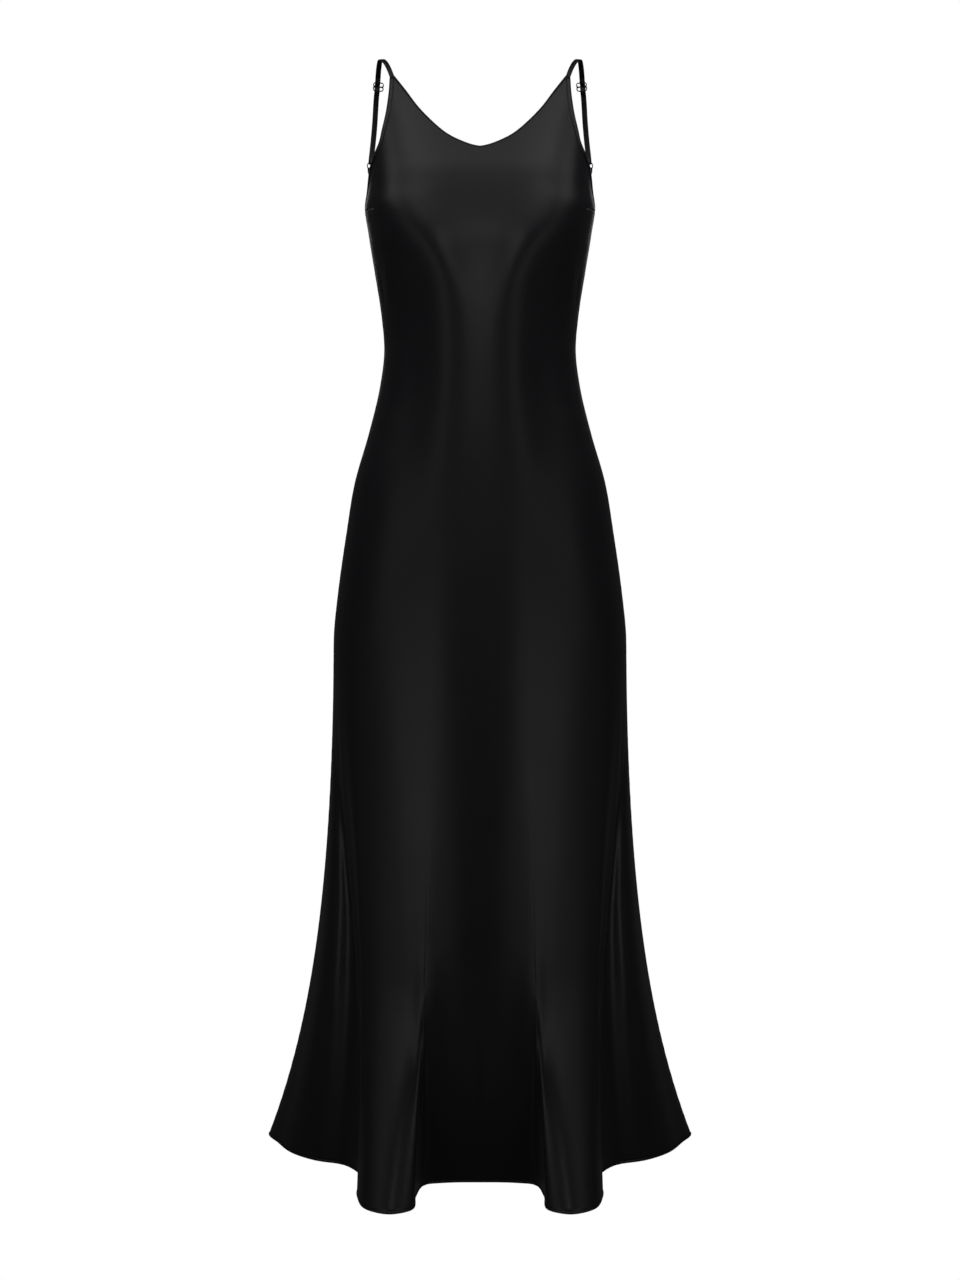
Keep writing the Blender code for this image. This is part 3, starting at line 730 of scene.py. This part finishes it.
def inside(side, share, height):
    """A place on the panel's inner side for the tab, and the way that the panel faces there."""
    spots = [
        np.append(side.torso(share + d, height + e), height + e)
        for d, e in ((0, 0), (0.01, 0), (0, MM))
    ]
    face = unit(np.cross(spots[1] - spots[0], spots[2] - spots[0]))
    face *= np.sign(face @ spots[0])
    return np.concatenate([spots[0] - face * TAB_DEPTH, face])


@functools.lru_cache(maxsize=1)
def strap_line():
    """The right strap's line, and the lengths at its ring and slider."""
    front, back = dress_form().values()
    corner = BACK_CUT.neck[-1][0] * MM
    tucked = [inside(back.side, TAB_SHARE, height) for height in (corner, corner - TAB_TUCK)]
    rows = [np.array(row) * (MM, MM, MM, 1, 1, 1) for row in STRAP_LINE]
    last = [-1 - SEAM_PARTS, -1]
    face = unit(front.normals[-1, last].mean(axis=0))
    shoulder = front.points[-1, last].mean(axis=0) - face * CLOTH / 2
    start = shoulder + unit(rows[0][:3] - shoulder) * STRAP_START
    line = Line([np.append(start, face), *rows, *tucked])
    ring = line.length[RING_ROW]
    falling = np.linspace(line.length[APEX_ROW], ring, SAMPLES)
    heights = np.array([line.at(s)[0][2] for s in falling])
    return line, ring, np.interp(-SLIDER_HEIGHT, -heights, falling)


def placed(spot, side, along, face, mirror):
    """Matrix of a fitting on the right strap's line, or on its mirror image."""
    matrix = np.eye(4)
    matrix[:3] = np.stack([side * mirror, along, face, spot], axis=1) * [[mirror], [1], [1]]
    return Matrix(matrix)


class Value:
    """A socket on which Python's operators add Math nodes."""

    def __init__(self, nodes, socket):
        self.nodes = nodes
        self.socket = socket

    def _math(self, operation, *terms):
        return self.nodes.node("ShaderNodeMath", {"operation": operation}, enumerate(terms))["Value"]

    def __add__(self, other):
        return self._math("ADD", self, other)

    def __sub__(self, other):
        return self._math("SUBTRACT", self, other)

    def __rsub__(self, other):
        return self._math("SUBTRACT", other, self)

    def __mul__(self, other):
        return self._math("MULTIPLY", self, other)

    __radd__ = __add__
    __rmul__ = __mul__


class Made:
    """A node whose outputs are read by name or number."""

    def __init__(self, nodes, node):
        self.nodes = nodes
        self.node = node

    def __getitem__(self, name):
        return Value(self.nodes, self.node.outputs[name])


class Nodes:
    """The nodes of a tree, which one method makes."""

    def __init__(self, tree):
        self.tree = tree

    def node(self, kind, settings=(), values=()):
        """A node with its settings, and then the values or links of its sockets, by name or number."""
        made = self.tree.nodes.new(kind)
        for name, setting in dict(settings).items():
            setattr(made, name, setting)
        for name, value in dict(values).items():
            socket = made.inputs[name]
            if isinstance(value, Value):
                self.tree.links.new(value.socket, socket)
            else:
                socket.default_value = value
        return Made(self, made)


class Shade(Nodes):
    """A material and its nodes."""

    def __init__(self, name):
        self.material = bpy.data.materials.new(name)
        self.material.use_nodes = True
        super().__init__(self.material.node_tree)
        self.tree.nodes.clear()

    def finish(self, shader):
        self.node("ShaderNodeOutputMaterial", {}, {"Surface": shader})
        return self.material

    def principled(self, values):
        return self.finish(self.node("ShaderNodeBsdfPrincipled", {}, values)["BSDF"])

    def noise(self, place, scale, detail, roughness=0.5):
        values = {"Vector": place, "Scale": scale, "Detail": detail, "Roughness": roughness}
        return self.node("ShaderNodeTexNoise", {}, values)["Fac"]

    def bump(self, height, strength, distance):
        values = {"Height": height, "Strength": strength, "Distance": distance}
        return self.node("ShaderNodeBump", {}, values)["Normal"]

    def toned(self, factor, colour, low, high):
        """The colour made from low to high times as bright."""
        dark, light = ((*(c * share for c in colour), 1) for share in (low, high))
        values = {"Factor": factor, 6: dark, 7: light}
        return self.node("ShaderNodeMix", {"data_type": "RGBA"}, values)[2]


def satin_finish(name, colour, roughness):
    """Matt black satin, cut on the bias: fine slanting floats, and slight changes of sheen."""
    shade = Shade(name)
    place = shade.node("ShaderNodeUVMap", {"uv_map": "weave"})["UV"]
    slant = {"Vector": place, "Rotation": (0, 0, math.radians(45)), "Scale": (2600, 520, 1)}
    floats = shade.node("ShaderNodeMapping", {"vector_type": "POINT"}, slant)["Vector"]
    grain = shade.noise(floats, 1.0, 2.0)
    cloud = shade.noise(place, 14.0, 3.0, 0.55)
    return shade.principled({
        "Base Color": shade.toned(cloud * 0.6 + grain * 0.4, colour, 0.85, 1.18),
        "Roughness": roughness + (cloud - 0.5) * 0.07 + (grain - 0.5) * 0.05,
        "Normal": shade.bump(grain, 0.35, 0.08 * MM),
        "IOR": 1.5, "Sheen Weight": 0.05, "Sheen Roughness": 0.45, "Sheen Tint": (0.9, 0.93, 1, 1),
    })


def thread_finish(name, colour):
    """Twisted black thread."""
    shade = Shade(name)
    twist = shade.noise(shade.node("ShaderNodeTexCoord")["Object"], 2400.0, 1.0)
    return shade.principled({
        "Base Color": shade.toned(twist, colour, 0.7, 1.3), "Roughness": 0.5 + twist * 0.15,
    })


def metal_finish(name, colour, roughness):
    """Black enamelled metal, a little uneven, with small specks."""
    shade = Shade(name)
    speck = shade.noise(shade.node("ShaderNodeTexCoord")["Object"], 900.0, 3.0)
    return shade.principled({
        "Base Color": shade.toned(speck, colour, 1, 1.6),
        "Roughness": roughness + (speck - 0.5) * 0.12,
        "Normal": shade.bump(speck, 0.15, 0.05 * MM),
        "Metallic": 0.6,
    })


def plain_light(name, brightness):
    """A plain pale surface that the studio lights evenly."""
    shade = Shade(name)
    glow = {"Color": (1, 1, 1, 1), "Strength": brightness}
    return shade.finish(shade.node("ShaderNodeEmission", {}, glow)["Emission"])


@functools.lru_cache(maxsize=1)
def finishes():
    settings = bpy.context.scene.slip_dress
    return {
        "satin": satin_finish("satin_cloth", settings.satin_colour, settings.satin_roughness),
        "thread": thread_finish("sewing_thread", settings.thread_colour),
        "metal": metal_finish("enamelled_metal", settings.metal_colour, settings.metal_roughness),
    }


def stitch_tree():
    """Stitches laid end to end along the edges of a mesh."""
    tree = bpy.data.node_groups.new("Stitch run", "GeometryNodeTree")
    for name, kind in (
        ("Geometry", "Geometry"), ("Stitch length", "Float"), ("Stitch pitch", "Float"),
        ("Thread thickness", "Float"), ("Unevenness", "Float"), ("Seed", "Int"), ("Thread", "Material"),
    ):
        tree.interface.new_socket(name, in_out="INPUT", socket_type=f"NodeSocket{kind}")
    tree.interface.new_socket("Geometry", in_out="OUTPUT", socket_type="NodeSocketGeometry")
    node = Nodes(tree).node
    given = node("NodeGroupInput")
    run = node("GeometryNodeMeshToCurve", {}, {"Mesh": given["Geometry"]})["Curve"]
    paced = {"Curve": run, "Length": given["Stitch pitch"]}
    spots = node("GeometryNodeResampleCurve", {"mode": "LENGTH"}, paced)["Curve"]
    bead = node("GeometryNodeMeshUVSphere", {}, {"Segments": 6, "Rings": 4, "Radius": 0.5})["Mesh"]
    thick = given["Thread thickness"]
    size = node("ShaderNodeCombineXYZ", {}, {"X": given["Stitch length"], "Y": thick, "Z": thick})
    shaped = {"Geometry": bead, "Scale": size["Vector"]}
    stitch = node("GeometryNodeTransform", {}, shaped)["Geometry"]
    tangent = node("GeometryNodeInputTangent")["Tangent"]
    turned = node("FunctionNodeAlignRotationToVector", {"axis": "X"}, {"Vector": tangent})
    uneven = {2: 1.0 - given["Unevenness"], 3: 1.0, "Seed": given["Seed"]}
    laid = node("GeometryNodeInstanceOnPoints", {}, {
        "Points": spots,
        "Instance": node("GeometryNodeSetShadeSmooth", {}, {"Geometry": stitch})["Geometry"],
        "Rotation": turned["Rotation"],
        "Scale": node("FunctionNodeRandomValue", {"data_type": "FLOAT"}, uneven)[1],
    })["Instances"]
    real = node("GeometryNodeRealizeInstances", {}, {"Geometry": laid})["Geometry"]
    sewn = node("GeometryNodeSetMaterial", {}, {"Geometry": real, "Material": given["Thread"]})
    node("NodeGroupOutput", {}, {"Geometry": sewn["Geometry"]})
    return tree


def stitched(name, tree, lines, seed):
    """A piece of stitches along polylines."""
    settings = bpy.context.scene.slip_dress
    points, edges = [], []
    for line in lines:
        edges += [(len(points) + k, len(points) + k + 1) for k in range(len(line) - 1)]
        points += line.tolist()
    path = bpy.data.meshes.new("stitch_path")
    path.from_pydata(points, edges, [])
    helper = linked(path.name, path)
    sewing = helper.modifiers.new("Stitches", "NODES")
    sewing.node_group = tree
    pitch = settings.stitch_pitch
    chosen = {
        "Stitch length": pitch * STITCH_SHARE, "Stitch pitch": pitch, "Thread thickness": settings.thread,
        "Unevenness": STITCH_UNEVEN, "Seed": seed, "Thread": finishes()["thread"],
    }
    for item in tree.interface.items_tree:
        if item.in_out == "INPUT" and item.name in chosen:
            sewing[item.identifier] = chosen[item.name]
    piece(evaluated(name, helper), "thread")
    bpy.data.meshes.remove(path)


Length = functools.partial(FloatProperty, unit="LENGTH")
Share = functools.partial(FloatProperty, min=0, max=1)
Colour = functools.partial(FloatVectorProperty, subtype="COLOR", size=3, min=0, max=1)


class DressSettings(bpy.types.PropertyGroup):
    """Sizes and colours of the dress."""

    wall: Length(name="Cloth thickness", description="Thickness of the satin", default=0.9 * MM)
    hem_roll: Length(name="Hem roll", description="Height of the rolled hem", default=3.4 * MM)
    neck_roll: Length(name="Neck roll", description="Height of the turned neck edge", default=2.4 * MM)
    stitch_pitch: Length(
        name="Stitch pitch", description="Length from stitch to stitch", default=2.6 * MM,
    )
    thread: Length(name="Thread", description="Thickness of the sewing thread", default=0.32 * MM)
    seed: IntProperty(name="Seed", description="Seed of the stitches' unevenness", default=7)
    satin_colour: Colour(
        name="Satin colour", description="Colour of the satin", default=(0.0098, 0.0100, 0.0128),
    )
    satin_roughness: Share(name="Satin roughness", description="How matt the satin is", default=0.38)
    thread_colour: Colour(
        name="Thread colour", description="Colour of the thread", default=(0.016, 0.016, 0.018),
    )
    metal_colour: Colour(
        name="Metal colour", description="Colour of the enamel", default=(0.02, 0.02, 0.022),
    )
    metal_roughness: Share(name="Metal roughness", description="How matt the enamel is", default=0.25)


class DressOperator(bpy.types.Operator):
    """Common options of the dress operators."""

    bl_options = {"REGISTER", "UNDO"}


class SLIPDRESS_OT_cloth(DressOperator):
    """Cut and drape the front and back cloth"""

    bl_idname = "slip_dress.cloth"
    bl_label = "Front and back"

    def execute(self, context):
        for name, cloth in dress_form().items():
            points = both_halves(cloth.points)
            over = np.concatenate([-cloth.across[:, :0:-1], cloth.across], axis=1)
            uv = np.stack([over, points[..., 2]], axis=-1)
            faces = [face[::-cloth.side.sign] for face in quads(*points.shape[:2])]
            mesh = made_mesh(f"{name}_cloth", points, faces, uv)
            piece(mesh, "satin", f"{name}_panel", context.scene.slip_dress.wall)
        return {"FINISHED"}


class SLIPDRESS_OT_edges(DressOperator):
    """Roll the hem, turn the neck edges and bind the armholes"""

    bl_idname = "slip_dress.edges"
    bl_label = "Hem, neck and armholes"

    def execute(self, context):
        settings = context.scene.slip_dress
        form = dress_form()
        for name, cloth in form.items():
            for edge, row, step, beyond, roll, thick in (
                ("hem", 0, 1, 0, settings.hem_roll, HEM_HALF_THICK),
                ("neck", -1, -1, SEAM_PARTS - 1, settings.neck_roll, NECK_HALF_THICK),
            ):
                run = slice(0, len(cloth.points[0]) - beyond)
                path = cloth.points[row, run]
                inward = both_halves(unit(cloth.points[row + step, run] - path))
                face = both_halves(cloth.normals[row, run])
                centres = both_halves(path) - face * settings.wall / 2 + inward * roll * ROLL_MIDDLE
                profile = oval(roll / 2, thick, 0.8, 14)
                piece(swept_mesh(f"{edge}_{name}", centres, inward, face, profile), "satin")
        halves = [armhole_edge(cloth) for cloth in form.values()]
        path, inward, face = (np.concatenate([front[::-1], back[1:]]) for front, back in zip(*halves))
        seam = len(halves[0][0]) - 1
        for k, share in UNDERARM_TURN:
            face[seam + k] = unit((1 - share) * face[seam + k] + share * np.array((1.0, 0, 0)))
            inward[seam + k] = (1 - share) * inward[seam + k] + share * np.array((0, 0, -1.0))
        inward = unit(inward - face * (inward * face).sum(axis=1, keepdims=True))
        centres = path + inward * BINDING_WIDTH * BINDING_MIDDLE + face * BINDING_PROUD
        profile = oval(BINDING_WIDTH / 2 + BINDING_LAP, BINDING_HALF_THICK, 0.75)
        for word, mirror in SIDES:
            mesh = swept_mesh(f"armhole_{word}", centres, inward, face, profile, mirror=mirror)
            piece(mesh, "satin", f"armhole_binding_{word}")
        return {"FINISHED"}


class SLIPDRESS_OT_straps(DressOperator):
    """Make the shoulder straps and the tabs of their rings"""

    bl_idname = "slip_dress.straps"
    bl_label = "Straps and tabs"

    def execute(self, context):
        line, ring, slider = strap_line()
        for part, node, stations in (
            ("shoulder_strap", "strap", strap_stations(ring, slider)),
            ("ring_tab", "strap_tab", tab_stations(line, ring)),
        ):
            centres, across, widths = line.centres(stations)
            faces = unit(np.cross(across, unit(np.gradient(centres, axis=0))))
            profile = oval(0.5, STRAP_THICKNESS / 2, 0.6)
            for word, mirror in SIDES:
                mesh = swept_mesh(f"{part}_{word}", centres, across, faces, profile, widths, mirror)
                piece(mesh, "satin", f"{node}_{word}")
        return {"FINISHED"}


class SLIPDRESS_OT_fittings(DressOperator):
    """Make the sliders and rings"""

    bl_idname = "slip_dress.fittings"
    bl_label = "Sliders and rings"

    def execute(self, context):
        line, ring, slider = strap_line()
        for word, mirror in SIDES:
            for name, shape, at, shift in (
                ("slider_plate", slider_mesh, slider, SLIDER_SHIFT), ("ring_wire", ring_mesh, ring, 0),
            ):
                spot, along, side, face = line.at(at)
                mesh = shape(f"{name}_{word}")
                middle = spot - np.sign(side[0]) * shift * side
                mesh.transform(placed(middle, side, along, face, mirror))
                outward_faces(mesh, WELD)
                made = piece(mesh, "metal", f"{name.split('_')[0]}_{word}")
                made.data.set_sharp_from_angle(angle=SHARP)
        return {"FINISHED"}


def slider_mesh(name):
    """A flat figure-8 plate with rounded edges: a squared outline nipped at its waist, two windows."""
    shape = bpy.data.curves.new(name, "CURVE")
    shape.dimensions = "2D"
    shape.fill_mode = "BOTH"
    shape.extrude = SLIDER_THICKNESS / 2 - SLIDER_SOFT
    shape.bevel_depth = SLIDER_SOFT
    shape.bevel_resolution = 2
    shape.offset = -SLIDER_SOFT
    squared = oval(1, 1, SLIDER_SQUARE, SLIDER_CORNERS)
    outline = squared * (SLIDER_HALF_WIDTH, SLIDER_HALF_HEIGHT)
    outline[:, 0] *= 1 - SLIDER_NIP * np.exp(-(outline[:, 1] / MM) ** 2)
    window_half = (SLIDER_HALF_HEIGHT - 1.5 * SLIDER_BAR) / 2
    window = squared[::2] * (SLIDER_HALF_WIDTH - SLIDER_BAR, window_half)
    shift = (0, window_half + SLIDER_BAR / 2)
    for points in (outline, window + shift, window - shift):
        spline = shape.splines.new("POLY")
        spline.points.add(len(points) - 1)
        spline.use_cyclic_u = True
        for point, (x, y) in zip(spline.points, points):
            point.co = (x, y, 0, 1)
    return evaluated(name, linked(name, shape))


def ring_mesh(name, turns=56, around=14):
    """A round wire ring."""
    t = np.linspace(0, 2 * math.pi, turns, endpoint=False)[:, None]
    s = np.linspace(0, 2 * math.pi, around, endpoint=False)[None]
    reach = RING_RADIUS + WIRE * np.cos(s)
    points = np.stack([reach * np.cos(t), reach * np.sin(t), WIRE * np.sin(s) + 0 * t], axis=-1)
    return made_mesh(name, points, quads(turns, around, 1, 1))


class SLIPDRESS_OT_stitching(DressOperator):
    """Sew the hem and the bindings"""

    bl_idname = "slip_dress.stitching"
    bl_label = "Stitching"

    def execute(self, context):
        settings = context.scene.slip_dress
        form = dress_form()
        tree = stitch_tree()
        height = settings.hem_roll * HEM_STITCH_SHARE + HEM_STITCH_RISE
        for name, (points, normals, *_) in form.items():
            share = height / (points[1, 0, 2] - points[0, 0, 2])
            line = points[0] + (points[1] - points[0]) * share + normals[0] * HEM_STITCH_PROUD
            stitched(f"hem_stitches_{name}", tree, [both_halves(line)], settings.seed)
        for word, mirror in SIDES:
            lines = []
            for cloth in form.values():
                edge, inward, face = (part[1:] for part in armhole_edge(cloth))
                line = edge + inward * BINDING_WIDTH * BINDING_STITCH_SHARE + face * BINDING_STITCH_PROUD
                lines.append(line * (mirror, 1, 1))
            stitched(f"armhole_stitches_{word}", tree, lines, settings.seed + 1)
        return {"FINISHED"}


# Studio lights: place, height faced, size and power. A light beside the middle has a twin on the left.
#    name, x, y, z, aim_z, size, power
LIGHTS = (
    ("top", 0, -0.86, 0.879, -0.35, 0.8, 1.15),
    ("front", 0, -2.443, 0.289, -0.6, 0.8, 2.44),
    ("key", 0.608, -0.869, 0.711, -0.35, 0.6, 1.2),
    ("crown", 0.9, -0.55, 1.75, -0.6, 0.9, 2.4),
    ("low", 1.4, -2.076, -1.3, -0.6, 0.8, 1.84),
    ("side", 2.041, -1.595, -0.373, -0.6, 0.8, 0.8),
    ("wing", 2.419, -0.648, -1.3, -0.6, 0.8, 0.12),
    ("rim", 1.155, -0.42, 0.51, -0.35, 0.6, 1.1),
    ("back", 0.62, 2.32, 0.3, -0.6, 0.8, 1.8),
)
WORLD_LIGHT = 0.026
STUDIO_LIGHT = 1.0
CAMERA_PLACE = (0, -2.16, -0.497)
CAMERA_PITCH = 5.14
LENS = 50
SENSOR = 36
FLOOR = HEM - 30 * MM
FLOOR_SHARE = 0.98
ROOM = 40


class SLIPDRESS_OT_stage(DressOperator):
    """Set up the floor, backdrop, lights and camera"""

    bl_idname = "slip_dress.stage"
    bl_label = "Stage"

    def execute(self, context):
        scene = context.scene
        pale = plain_light("pale_studio", STUDIO_LIGHT)
        sphere = {"subdivisions": 4, "radius": ROOM}
        disc = {"cap_ends": True, "segments": 96, "radius": ROOM * FLOOR_SHARE}
        backdrop = self.surface("backdrop", pale, bmesh.ops.create_icosphere, sphere)
        floor = self.surface("floor", pale, bmesh.ops.create_circle, disc, FLOOR)
        for name, x, y, z, aim, size, power in LIGHTS:
            for word, mirror in SIDES[::-1] if x else (("middle", 1),):
                area = bpy.data.lights.new(f"{name}_{word}", "AREA")
                area.size = size
                area.energy = power
                lamp = linked(area.name, area)
                lamp.location = (mirror * x, y, z)
                way = Vector((0, 0, aim)) - lamp.location
                lamp.rotation_euler = way.to_track_quat("-Z", "Y").to_euler()
                lamp.visible_camera = False
        scene.world = bpy.data.worlds.new("studio")
        scene.world.use_nodes = True
        sky = scene.world.node_tree.nodes["Background"].inputs
        sky["Color"].default_value = (1, 1, 1, 1)
        sky["Strength"].default_value = WORLD_LIGHT
        scene.view_settings.view_transform = "Standard"
        lens = bpy.data.cameras.new("camera")
        lens.lens = LENS
        lens.sensor_width = SENSOR
        scene.camera = linked("camera", lens)
        scene.camera.location = CAMERA_PLACE
        scene.camera.rotation_euler = (math.radians(90 - CAMERA_PITCH), 0, 0)
        return {"FINISHED"}

    @staticmethod
    def surface(name, finish, make, sizes, height=0):
        bm = bmesh.new()
        make(bm, **sizes)
        bmesh.ops.translate(bm, verts=bm.verts, vec=(0, 0, height))
        mesh = bpy.data.meshes.new(name)
        bm.to_mesh(mesh)
        bm.free()
        made = add_object(mesh, finish)
        for ray in ("diffuse", "glossy", "transmission", "shadow"):
            setattr(made, f"visible_{ray}", False)
        return made


STEPS = (
    SLIPDRESS_OT_cloth, SLIPDRESS_OT_edges, SLIPDRESS_OT_straps, SLIPDRESS_OT_fittings,
    SLIPDRESS_OT_stitching, SLIPDRESS_OT_stage,
)


class SLIPDRESS_PT_panel(bpy.types.Panel):
    """Sizes, colours and steps of the dress"""

    bl_label = "Slip Dress"
    bl_idname = "SLIPDRESS_PT_panel"
    bl_space_type = "VIEW_3D"
    bl_region_type = "UI"
    bl_category = "Slip Dress"

    def draw(self, context):
        for name in DressSettings.__annotations__:
            self.layout.prop(context.scene.slip_dress, name)
        for step in STEPS:
            self.layout.operator(step.bl_idname)


CLASSES = (DressSettings, *STEPS, SLIPDRESS_PT_panel)


def register():
    for cls in CLASSES:
        bpy.utils.register_class(cls)
    bpy.types.Scene.slip_dress = PointerProperty(type=DressSettings)


def unregister():
    del bpy.types.Scene.slip_dress
    for cls in reversed(CLASSES):
        bpy.utils.unregister_class(cls)


def declare_cloth():
    """Make up, for each sheet of cloth, the names of its edges, stitches and straps; nothing is done with
    them.
    """
    for name, (flat, area), pairs in (
        ("front", FRONT_FLAT, ("armhole", "armhole_stitches", "shoulder_strap")),
        ("back", BACK_FLAT, ("ring_tab",)),
    ):
        names = [f"{edge}_{name}" for edge in ("hem", "neck", "hem_stitches")]
        names += [f"{pair}_{word}" for pair in pairs for word, _ in SIDES]


def main():
    register()
    for step in STEPS:
        group, name = step.bl_idname.split(".")
        getattr(getattr(bpy.ops, group), name)()
    declare_cloth()
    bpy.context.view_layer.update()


if __name__ == "__main__":
    main()
